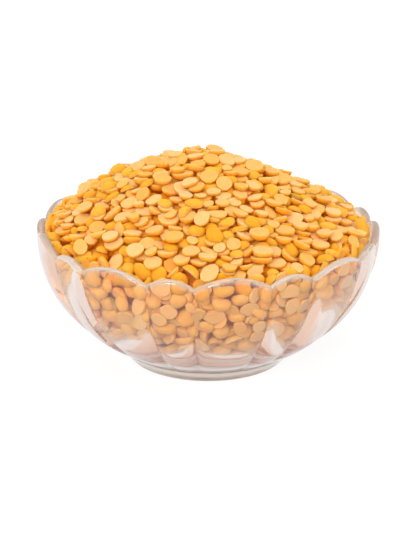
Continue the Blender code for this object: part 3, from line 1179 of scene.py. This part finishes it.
@dataclass
class WallBed(GrainBed):
    """Bed laid on the inside of the glass, on which grains are pressed outwards.

    The hollow is unrolled round the middle of its floor: the distance from the centre of the map is
    the distance along the glass, and heights are measured from the glass inwards.
    """

    layer: float = 5.4 * MM
    face_down: float = 0.65
    glass_gap: float = 0.18 * MM
    samples: int = 600
    crowding: float = 2.5
    above_notch: float = 4.0 * MM
    margin: int = 24
    slope_step: float = 0.6 * MM
    rim_margin: float = 1.0 * MM
    spot_margin: float = 1.5 * MM
    inner_margin: float = 1.5 * MM
    headroom: float = 1.5 * MM
    stacked: float = 3.0 * MM
    unpaled_band: float = 3.0 * MM
    bury_from: float = 1.8 * MM

    def __post_init__(self) -> None:
        """Measure the hollow's profile and lay out the map."""
        floor = self.bowl.notch_height - self.bowl.hollow_depth
        share = np.linspace(0.0, 1.0, self.samples)
        self.heights = floor + (self.bowl.notch_height + self.above_notch - floor) * share ** self.crowding
        self.radii = np.asarray(self.bowl.inside(self.heights), dtype=float)
        self.radii[self.heights <= floor + NO_LENGTH] = 0.0
        steps = np.hypot(np.diff(self.radii), np.diff(self.heights))
        self.along = np.concatenate([[0.0], np.cumsum(steps)])
        self.span = float(self.along[-1])
        self.count = int(self.span / self.cell) + self.margin
        self.map = np.zeros((2 * self.count + 1, 2 * self.count + 1))

    def frame_at(self, u: float, v: float) -> tuple[np.ndarray, np.ndarray]:
        """Find the point of the glass under a point of the map.

        Args:
            u: first map coordinate.
            v: second map coordinate.

        Returns:
            The point, and the matrix of directions along, round and in from the glass.
        """
        along = math.hypot(u, v)
        radius = float(np.interp(along, self.along, self.radii))
        height = float(np.interp(along, self.along, self.heights))
        ends = [np.interp(along + side, self.along, line)
                for line in (self.radii, self.heights) for side in (-self.slope_step, self.slope_step)]
        rise = np.array([ends[1] - ends[0], ends[3] - ends[2]])
        rise /= np.linalg.norm(rise)
        out = np.array([u, v]) / max(along, NO_LENGTH)
        e_along = np.array([out[0] * rise[0], out[1] * rise[0], rise[1]])
        e_round = np.array([-out[1], out[0], 0.0])
        return (np.array([out[0] * radius, out[1] * radius, height]),
                np.column_stack([e_along, e_round, np.cross(e_along, e_round)]))

    def holds(self, u: float, v: float) -> bool:
        """Tell whether a point is under the rim."""
        return math.hypot(u, v) < self.span - self.rim_margin

    def surface_at(self, u: float, v: float) -> float:
        """Heights are judged from the glass."""
        return 0.0

    def window(self, u: float, v: float) -> tuple[tuple[slice, slice], np.ndarray, np.ndarray]:
        """Cut out the cells round a point, with their distances along and round the glass.

        Args:
            u: first map coordinate.
            v: second map coordinate.

        Returns:
            The map's two slices, and the cells' distances along and round the glass.
        """
        along = math.hypot(u, v)
        wide = max(1.0, along / max(float(np.interp(along, self.along, self.radii)), NO_LENGTH))
        cells, du, dv = self.around(u, v, self.grain_reach * wide)
        cu, cv = (u / along, v / along) if along > NO_LENGTH else (1.0, 0.0)
        p = du[:, None] * cu + dv[None, :] * cv
        q = (-du[:, None] * cv + dv[None, :] * cu) / wide
        return cells, p.ravel(), q.ravel()

    def clears(self, grain: Grain) -> float:
        """Least distance from the grain's corners to the glass, negative where one is inside it.

        Args:
            grain: the grain, in its place.

        Returns:
            The distance.
        """
        shape = self.dealer.shapes[grain.shape]
        points = shape.rings(shape.sides).reshape(-1, 3) * grain.stretch @ grain.turn.T + grain.centre
        limit = np.asarray(self.bowl.inside(points[:, 2]))
        slope = np.interp(points[:, 2], self.heights[:-1],
                          np.diff(self.heights) / np.maximum(NO_LENGTH, np.diff(self.along)))
        return float(((limit - np.hypot(points[:, 0], points[:, 1])) * slope).min())

    def spots(self, level: float) -> np.ndarray:
        """Map coordinates of the cells below the rim where the grains are thinner than a level.

        Args:
            level: thickness of the grains on the glass.

        Returns:
            The coordinates, a row for each cell.
        """
        line = np.arange(-self.count, self.count + 1) * self.cell
        along = np.hypot(line[:, None], line[None, :])
        found = np.argwhere((self.map < level) & (along < self.span - self.spot_margin))
        return (found - self.count) * self.cell

    def press(self, plan: Round) -> list[Grain]:
        """Press one round of grains on the glass.

        Args:
            plan: the round.

        Returns:
            The grains that found room.
        """
        placed = []
        for i in range(plan.tries):
            if i % self.refresh == 0:
                spots = self.spots(plan.room * MM)
            if len(spots) == 0:
                break
            grain = self.dealer.deal(plan.scale)
            spot = spots[self.dealer.rng.integers(len(spots))]
            berth = self.first_lie(grain, spot, np.array([0.0, 0.0, 1.0]), math.radians(plan.tilt))
            if berth is None:
                continue
            berth = self.settle(grain, berth)
            if berth.level > self.layer - self.inner_margin:
                continue
            point, axes = self.frame_at(berth.u, berth.v)
            grain.turn = axes @ berth.turn
            grain.centre = point + axes[:, 2] * (berth.level - self.sink * (berth.level > self.stacked))
            grain.centre = grain.centre + axes[:, 2] * max(0.0, self.glass_gap - self.clears(grain))
            if grain.centre[2] + self.headroom > self.dome.height(grain.centre[0], grain.centre[1]):
                continue
            # Grains on the glass below a band under the rim are marked to be drawn paler.
            grain.chalky = float(grain.centre[2] < self.bowl.notch_height - self.unpaled_band)
            grain.sunk = self.buried(berth.level - self.bury_from)
            self.take(berth)
            placed.append(grain)
        return placed


@dataclass
class DomeBed(GrainBed):
    """Bed seen from above, on which grains are dropped until they reach the dome's surface."""

    layer: float = 6.5 * MM
    unease: float = 1.4 * MM
    level_pull: float = 0.7
    face_down: float = 0.6
    moves: int = 22
    margin: int = 14
    spot_margin: float = 2.6 * MM
    glass_margin: float = 0.25 * MM
    glass_top: float = 1.0
    proud_spread: float = 0.5
    bury_from: float = 2.2 * MM
    bury_over: float = 1.8 * MM
    ground_reach: float = 3.6 * MM
    least_ground: int = 12

    def __post_init__(self) -> None:
        """Lay out the map with the core's top, and a wall where the glass is."""
        self.count = int(self.bowl.radius / self.cell) + self.margin
        line = np.arange(-self.count, self.count + 1) * self.cell
        x, y = line[:, None], line[None, :]
        self.surface = self.dome.height(x, y)
        self.out = np.hypot(x, y)
        self.within = self.out < self.bowl.hollow_radius - self.spot_margin
        self.map = self.surface - self.layer
        self.map[self.out > self.bowl.hollow_radius - self.glass_margin] = self.glass_top

    def holds(self, u: float, v: float) -> bool:
        """Tell whether a point is inside the rim."""
        return math.hypot(u, v) < self.bowl.hollow_radius

    def surface_at(self, u: float, v: float) -> float:
        """Heights are judged from the dome."""
        return float(self.dome.height(u, v))

    def window(self, u: float, v: float) -> tuple[tuple[slice, slice], np.ndarray, np.ndarray]:
        """Cut out the cells round a point, with their distances from it."""
        cells, du, dv = self.around(u, v, self.grain_reach)
        return cells, np.repeat(du, len(dv)), np.tile(dv, len(du))

    def cover(self, grains: list[Grain]) -> None:
        """Raise the map where grains already lie.

        Args:
            grains: those grains.
        """
        for grain in grains:
            cells, p, q = self.window(grain.centre[0], grain.centre[1])
            _, high, under = reach_of(self.dealer.planes_of(grain, grain.turn), p, q)
            self.take(Berth(0.0, 0.0, 0.0, 0.0, 0.0, grain.turn, cells, grain.centre[2] + high, under))

    def spots(self, room: float, inner: float) -> np.ndarray:
        """Places from an inner radius outwards where the dome is still some room above what lies there."""
        found = np.argwhere((self.surface - self.map > room) & self.within & (self.out >= inner))
        return (found - self.count) * self.cell

    def drop(self, plan: Round) -> list[Grain]:
        """Drop one round of grains from above.

        Args:
            plan: the round.

        Returns:
            The grains that found room.
        """
        rng = self.dealer.rng
        placed = []
        for i in range(plan.tries):
            if i % self.refresh == 0:
                spots = self.spots(plan.room * MM, plan.inner)
            if len(spots) == 0:
                break
            spot = spots[rng.integers(len(spots))]
            grain = self.dealer.deal(plan.scale)
            berth = self.first_lie(grain, spot, self.ground_normal(*spot), math.radians(plan.tilt))
            if berth is None:
                continue
            berth = self.settle(grain, berth)
            if berth.excess > rng.normal(plan.proud * plan.scale, self.proud_spread) * MM:
                continue
            grain.turn = berth.turn
            grain.centre = np.array([berth.u, berth.v, berth.level - self.sink])
            grain.sunk = self.buried(-berth.excess - self.bury_from)
            self.take(berth)
            placed.append(grain)
        return placed

    def ground_normal(self, x: float, y: float) -> np.ndarray:
        """Direction out of what lies round a point, drawn upright, since loose grains lie flat.

        Args:
            x: how far right of the axis the point is.
            y: how far behind it.

        Returns:
            The direction, of length one.
        """
        cells, p, q = self.window(x, y)
        ground = self.map[cells].ravel()
        near = (np.hypot(p, q) < self.ground_reach) & (ground < self.glass_top / 2.0)
        if near.sum() < self.least_ground:
            return np.array([0.0, 0.0, 1.0])
        table = np.column_stack([p[near], q[near], np.ones(int(near.sum()))])
        slope = np.linalg.lstsq(table, ground[near], rcond=None)[0]
        normal = np.array([-slope[0], -slope[1], 1.0])
        normal = normal / np.linalg.norm(normal) + np.array([0.0, 0.0, self.level_pull])
        return normal / np.linalg.norm(normal)


@dataclass
class DalHeap:
    """The heap: a buried core and the loose grains that cover it, one piece for each kind."""

    bowl: PetalBowl
    seed: int = 7
    wall_rounds: tuple[Round, ...] = (
        Round(900, 30.0, 0.4, 1.0), Round(900, 30.0, 1.4, 1.0), Round(900, 26.0, 2.2, 0.95),
        Round(250, 30.0, 2.4, 0.8))
    dome_rounds: tuple[Round, ...] = (
        Round(700, 24.0, 4.0, 1.08), Round(800, 22.0, 3.0, 1.08), Round(900, 20.0, 2.2, 1.07),
        Round(600, 26.0, 1.7, 0.98), Round(400, 45.0, 3.2, 0.92), Round(500, 45.0, 2.5, 0.8),
        # The last handfuls lie proud of the dome, so that its outline is as uneven as a real heap's.
        Round(50, 40.0, -0.8, 1.0, 0.6, 12.0 * MM), Round(110, 40.0, -0.8, 1.0, 1.1, 36.0 * MM))
    shared_band: float = 14.0 * MM
    unripe_spot: tuple[float, float] = (28.0 * MM, -6.0 * MM)
    unripe_tint: float = 2.0
    shown_depth: float = 1.6 * MM
    buried_cost: float = 4.0
    face_up_cost: float = 3.0 * MM
    core_columns: int = 72
    core_rows: int = 14
    core_inset: float = 5.0 * MM
    core_floor: float = 3.5 * MM
    core_brim: float = 5.0 * MM
    core_depth: float = 6.8 * MM
    core_crowding: float = 1.6
    core_least: float = 4.0 * MM
    core_slack: float = 1.5 * MM
    lump_size: float = 2.2 * MM
    lump_depth: float = 0.35 * MM

    def __post_init__(self) -> None:
        """Set up the dome and the dealer."""
        self.dome = DomeSurface(self.bowl)
        self.dealer = GrainDealer(self.seed)

    def pour(self) -> list[Grain]:
        """Place every loose grain, first against the glass and then on the dome.

        Returns:
            The grains.
        """
        wall = WallBed(self.bowl, self.dome, self.dealer)
        grains = []
        for plan in self.wall_rounds:
            fresh = wall.press(plan)
            grains += fresh
            LOG.info("pressed %d grains on the glass", len(fresh))
        bed = DomeBed(self.bowl, self.dome, self.dealer)
        bed.cover([g for g in grains if g.centre[2] > self.bowl.notch_height - self.shared_band])
        for plan in self.dome_rounds:
            fresh = bed.drop(plan)
            grains += fresh
            LOG.info("dropped %d grains on the dome", len(fresh))
        min(grains, key=self.unripe_miss).tint = self.unripe_tint
        return grains

    def unripe_miss(self, grain: Grain) -> float:
        """How ill a grain suits as the one picked too green: how far off, how deep and how face up it is.

        Args:
            grain: the grain.

        Returns:
            The lower, the better it suits.
        """
        x, y, z = grain.centre
        buried = max(0.0, float(self.dome.height(x, y)) - z - self.shown_depth)
        face_up = self.face_up_cost * max(0.0, grain.turn[2, 2])
        return math.dist((x, y), self.unripe_spot) + self.buried_cost * buried + face_up

    def core_mesh(self) -> bpy.types.Mesh:
        """Mesh of the buried core, well inside the grains that cover it.

        Returns:
            The mesh.
        """
        bm = bmesh.new()
        floor = self.bowl.notch_height - self.bowl.hollow_depth + self.core_floor
        brim = self.bowl.notch_height - self.core_brim
        rings = []
        for i in range(self.core_rows + 1):
            height = floor + (brim - floor) * (i / self.core_rows) ** self.core_crowding
            radius = float(self.bowl.inside(height - self.core_slack)) - self.core_inset
            rings.append((max(self.core_least, radius), height))
        edge = rings[-1][0]
        rings += [(edge * (1.0 - i / self.core_rows), None) for i in range(self.core_rows)]
        grid = []
        for radius, height in rings:
            ring = []
            for i in range(self.core_columns):
                turn = 2.0 * math.pi * i / self.core_columns
                x, y = radius * math.sin(turn), -radius * math.cos(turn)
                z = height if height is not None else float(self.dome.height(x, y)) - self.core_depth
                ring.append(bm.verts.new((x, y, z)))
            grid.append(ring)
        bottom = bm.verts.new((0.0, 0.0, floor))
        top = bm.verts.new((0.0, 0.0, float(self.dome.height(0.0, 0.0)) - self.core_depth))
        for i in range(self.core_columns):
            j = (i + 1) % self.core_columns
            bm.faces.new((bottom, grid[0][j], grid[0][i]))
            for lower, upper in zip(grid, grid[1:]):
                bm.faces.new((lower[i], lower[j], upper[j], upper[i]))
            bm.faces.new((grid[-1][i], grid[-1][j], top))
        mesh = closed_mesh(bm, "heap core")
        mesh.shade_smooth()
        return mesh

    def scatter_tree(self) -> bpy.types.NodeTree:
        """Node group that sets a shape on each point, turned and stretched as the point says.

        Returns:
            The node group.
        """
        tree = geometry_tree("scatter grains", {
            "Shapes": "NodeSocketCollection", "Lump Size": "NodeSocketFloat",
            "Lump Depth": "NodeSocketFloat", "Grain": "NodeSocketMaterial",
        })
        inputs = tree.nodes["Inputs"].outputs
        shapes = add_node(tree, "GeometryNodeCollectionInfo", {
            "Collection": inputs["Shapes"], "Separate Children": True, "Reset Children": True,
        })
        turn, stretch, which = [
            add_node(tree, "GeometryNodeInputNamedAttribute", {"Name": name}, data_type=kind)
            for name, kind in (("turn", "QUATERNION"), ("stretch", "FLOAT_VECTOR"), ("variant", "INT"))]
        scattered = add_node(tree, "GeometryNodeInstanceOnPoints", {
            "Points": inputs["Geometry"],
            "Instance": shapes.outputs[0],
            "Pick Instance": True,
            "Instance Index": which.outputs["Attribute"],
            "Rotation": turn.outputs["Attribute"],
            "Scale": stretch.outputs["Attribute"],
        })
        solid = add_node(tree, "GeometryNodeRealizeInstances", {"Geometry": scattered.outputs["Instances"]})
        place = add_node(tree, "GeometryNodeInputPosition")
        scale = add_node(tree, "ShaderNodeMath", {0: 1.0, 1: inputs["Lump Size"]}, operation="DIVIDE")
        lumps = add_node(tree, "ShaderNodeTexNoise", {
            "Vector": place.outputs[0], "Scale": scale.outputs[0], "Detail": 0.0,
        })
        centred = add_node(tree, "ShaderNodeVectorMath", {
            0: lumps.outputs["Color"], 1: (NOISE_MEAN,) * 3,
        }, operation="SUBTRACT")
        push = add_node(tree, "ShaderNodeVectorMath", {
            0: centred.outputs[0], "Scale": inputs["Lump Depth"],
        }, operation="SCALE")
        lumpy = add_node(tree, "GeometryNodeSetPosition", {
            "Geometry": solid.outputs["Geometry"], "Offset": push.outputs[0],
        })
        smooth = add_node(tree, "GeometryNodeSetShadeSmooth", {"Geometry": lumpy.outputs["Geometry"]})
        dressed = add_node(tree, "GeometryNodeSetMaterial", {
            "Geometry": smooth.outputs["Geometry"], "Material": inputs["Grain"],
        })
        tree.links.new(dressed.outputs["Geometry"], tree.nodes["Outputs"].inputs["Geometry"])
        return tree

    def points_mesh(self, grains: list[Grain], first: int) -> bpy.types.Mesh:
        """Mesh of one point for each grain, with how it lies in the points' attributes.

        Args:
            grains: the grains of one kind.
            first: number of the kind's first shape.

        Returns:
            The mesh.
        """
        mesh = bpy.data.meshes.new("grain points")
        mesh.from_pydata([tuple(g.centre) for g in grains], [], [])
        turns = [Matrix(g.turn.tolist()).to_quaternion() for g in grains]
        mesh.attributes.new("turn", "QUATERNION", "POINT").data.foreach_set(
            "value", [part for turn in turns for part in turn])
        mesh.attributes.new("stretch", "FLOAT_VECTOR", "POINT").data.foreach_set(
            "vector", [float(part) for g in grains for part in g.stretch])
        mesh.attributes.new("variant", "INT", "POINT").data.foreach_set(
            "value", [g.shape - first for g in grains])
        for mark in ("tint", "chalky", "sunk"):
            mesh.attributes.new(mark, "FLOAT", "POINT").data.foreach_set(
                "value", [getattr(g, mark) for g in grains])
        return mesh

    def dress(self, piece: bpy.types.Object) -> None:
        """Attach a piece of the heap to the body and hide the solid that it stands for.

        Args:
            piece: the piece.
        """
        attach(piece, BODY)
        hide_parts(HEAP_NODE)

    def build(self, dal: SplitChickpea, buried: BuriedDal) -> list[bpy.types.Object]:
        """Build the core and the loose grains.

        Args:
            dal: finish of the loose grains.
            buried: finish of the core.

        Returns:
            The pieces.
        """
        core = new_object("heap_core", self.core_mesh())
        core.data.materials.append(buried.material())
        pieces = [core]
        grains = self.pour()
        tree = self.scatter_tree()
        skin = dal.material()
        for number, kind in enumerate(GrainKind):
            first = number * self.dealer.variants
            own = [g for g in grains if first <= g.shape < first + self.dealer.variants]
            shapes = bpy.data.collections.new(f"{kind.name.lower()} shapes")
            for i, shape in enumerate(self.dealer.shapes[first:first + self.dealer.variants]):
                shapes.objects.link(bpy.data.objects.new(f"shape_{number}_{i}", shape.mesh()))
            source = new_object("grain_points", self.points_mesh(own, first))
            node_modifier(source, tree, {
                "Shapes": shapes, "Lump Size": self.lump_size, "Lump Depth": self.lump_depth, "Grain": skin,
            })
            pieces.append(as_plain_mesh(source, f"{kind.name.lower()}_grains"))
            for item in list(shapes.objects):
                bpy.data.objects.remove(item, do_unlink=True)
            bpy.data.collections.remove(shapes)
        for piece in pieces:
            self.dress(piece)
        return pieces


# ---------------------------------------------------------------- studio


@dataclass(frozen=True)
class SoftBox:
    """A soft light: its name, where it hangs, the side of its square and its power in watts."""

    name: str
    place: tuple[float, float, float]
    size: float
    power: float


@dataclass
class Studio:
    """Camera, lights and floor."""

    camera_place: tuple[float, float, float] = (0.0, -551.2 * MM, 234.4 * MM)
    pitch: float = math.radians(-20.05)
    yaw: float = math.radians(0.087)
    roll: float = math.radians(0.54)
    lens_mm: float = 106.46
    sensor_mm: float = 36.0
    clip_start: float = 0.01
    lit_point: tuple[float, float, float] = (0.0, 0.0, 0.04)
    lights: tuple[SoftBox, ...] = (
        SoftBox("front light", (-0.35, -1.0, 0.75), 0.5, 7.2),
        SoftBox("top light", (-0.15, 0.1, 1.2), 0.8, 3.0),
        SoftBox("right light", (1.0, -0.4, 0.6), 0.6, 2.4))
    room: str = "#F6F7F9"
    room_strength: float = 0.82
    floor_radius: float = 2.5
    floor_sides: int = 96

    def aim(self) -> None:
        """Set the camera where the photograph was taken from."""
        data = bpy.data.cameras.new("camera")
        data.lens = self.lens_mm
        data.sensor_width = self.sensor_mm
        data.clip_start = self.clip_start
        camera = bpy.data.objects.new("camera", data)
        bpy.context.scene.collection.objects.link(camera)
        turn = (Matrix.Rotation(-self.yaw, 4, "Z")
                @ Matrix.Rotation(math.pi / 2.0 + self.pitch, 4, "X")
                @ Matrix.Rotation(self.roll, 4, "Z"))
        camera.matrix_world = Matrix.Translation(self.camera_place) @ turn
        bpy.context.scene.camera = camera

    def hang(self, light: SoftBox) -> None:
        """Hang one soft light that faces the bowl and isn't seen through the glass.

        Args:
            light: the light.
        """
        data = bpy.data.lights.new(light.name, "AREA")
        data.size = light.size
        data.energy = light.power
        lamp = bpy.data.objects.new(light.name, data)
        lamp.visible_transmission = False
        bpy.context.scene.collection.objects.link(lamp)
        lamp.location = light.place
        aim = Vector(self.lit_point) - Vector(light.place)
        lamp.rotation_euler = aim.to_track_quat("-Z", "Y").to_euler()

    def build(self, paper: PaperSweep) -> None:
        """Build the floor, the lights, the room's own light and the camera.

        Args:
            paper: finish of the floor.
        """
        bm = bmesh.new()
        bmesh.ops.create_circle(bm, cap_ends=True, segments=self.floor_sides, radius=self.floor_radius)
        mesh = bpy.data.meshes.new("floor")
        bm.to_mesh(mesh)
        bm.free()
        floor = new_object("floor", mesh)
        floor.data.materials.append(paper.material())
        for light in self.lights:
            self.hang(light)
        world = bpy.data.worlds.new("studio")
        world.use_nodes = True
        background = world.node_tree.nodes["Background"].inputs
        background["Color"].default_value = colour(self.room)
        background["Strength"].default_value = self.room_strength
        bpy.context.scene.world = world
        bpy.context.scene.view_settings.view_transform = "Standard"
        self.aim()


def main() -> None:
    """Build the bowl, the heap and the studio, and log how many faces each piece has."""
    logging.basicConfig(level=logging.INFO, format="%(name)s: %(message)s")
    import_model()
    bowl = PetalBowl()
    piece = bowl.build(PressedGlass())
    LOG.info("%s: %d faces", piece.name, len(piece.data.polygons))
    for piece in DalHeap(bowl).build(SplitChickpea(), BuriedDal()):
        LOG.info("%s: %d faces", piece.name, len(piece.data.polygons))
    Studio().build(PaperSweep())


if __name__ == "__main__":
    main()
